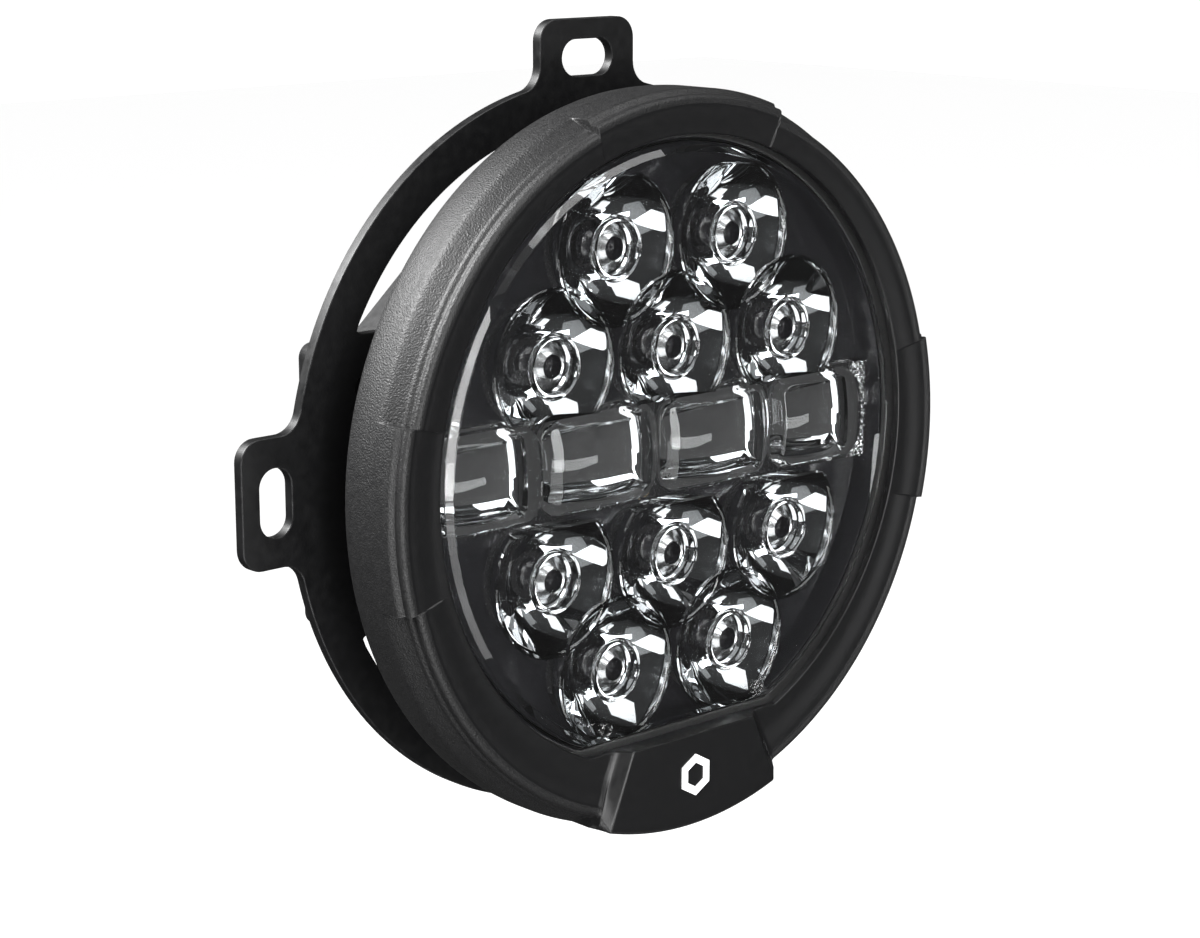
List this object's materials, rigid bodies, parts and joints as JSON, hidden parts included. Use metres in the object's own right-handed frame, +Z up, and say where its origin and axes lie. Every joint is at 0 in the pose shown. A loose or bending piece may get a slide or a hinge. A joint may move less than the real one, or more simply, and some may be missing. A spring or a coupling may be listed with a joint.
{
  "type": "fog light",
  "caption": "Round LED fog light with clear collimator optics, a grained black bezel and a slotted mounting plate; the lamp tilts for vertical aim on two side pivots.",
  "frame": {"origin": "on the lamp axis at the mounting plate's rear (seating) face", "axes": "+X to the lamp's right seen from the front camera side (along +Y), +Y to the rear, out of the plate's seating face, +Z up; light leaves along -Y"},
  "size_m": [0.181, 0.0763, 0.1685],
  "materials": {
    "plate_steel": "satin black powder coat",
    "bezel_plastic": "black glass-filled plastic with a fine grain",
    "badge_white": "white inlay",
    "cast_black": "die-cast aluminium with a black textured coat",
    "zinc_steel": "zinc-plated steel",
    "bronze": "turned brass and spring bronze",
    "nylon": "natural nylon",
    "clear_plastic": "clear polycarbonate",
    "black_rubber": "silicone rubber",
    "board_black": "aluminium-core board with black solder mask",
    "board_green": "glass-epoxy board with green solder mask",
    "ceramic_white": "LED ceramic",
    "phosphor": "silicone dome over phosphor",
    "pad_grey": "filled silicone sheet",
    "ferrite": "ferrite and moulded epoxy",
    "capacitor_sleeve": "sleeved aluminium can",
    "gland_plastic": "black nylon"
  },
  "bodies": {
    "mount": {"mounting_plate": "plate_steel", "left_bracket": "cast_black", "right_bracket": "cast_black", "bracket_screws": "zinc_steel", "pivot_bushes": "nylon"},
    "lamp": {"bezel": "bezel_plastic", "inner_trim": "bezel_plastic", "emblem": "badge_white", "housing": "cast_black", "rear_cover": "cast_black", "pivot_bolts": "zinc_steel", "head_washers": "zinc_steel", "bezel_screws": "zinc_steel", "board_screws": "zinc_steel", "driver_screws": "zinc_steel", "cover_screws": "zinc_steel", "gland_locknut": "zinc_steel", "friction_washers": "bronze", "bezel_inserts": "bronze", "feed_pins": "bronze", "board_header": "nylon", "outer_lens": "clear_plastic", "upper_optic_array": "clear_plastic", "lower_optic_array": "clear_plastic", "centre_optic_bar": "clear_plastic", "lens_gasket": "black_rubber", "cover_gasket": "black_rubber", "gland_seal": "black_rubber", "led_board": "board_black", "driver_board": "board_green", "led_packages": "ceramic_white", "led_domes": "phosphor", "thermal_pad": "pad_grey", "inductor": "ferrite", "driver_chips": "ferrite", "capacitors": "capacitor_sleeve", "cable_gland": "gland_plastic", "gland_nut": "gland_plastic", "vent_plug": "gland_plastic"}
  },
  "joints": [
    {"name": "lamp_tilt", "type": "hinge", "parent": "mount", "child": "lamp", "pos_m": [0, 0.012, 0], "axis": [1, 0, 0], "range_deg": [-8, 8]}
  ]
}
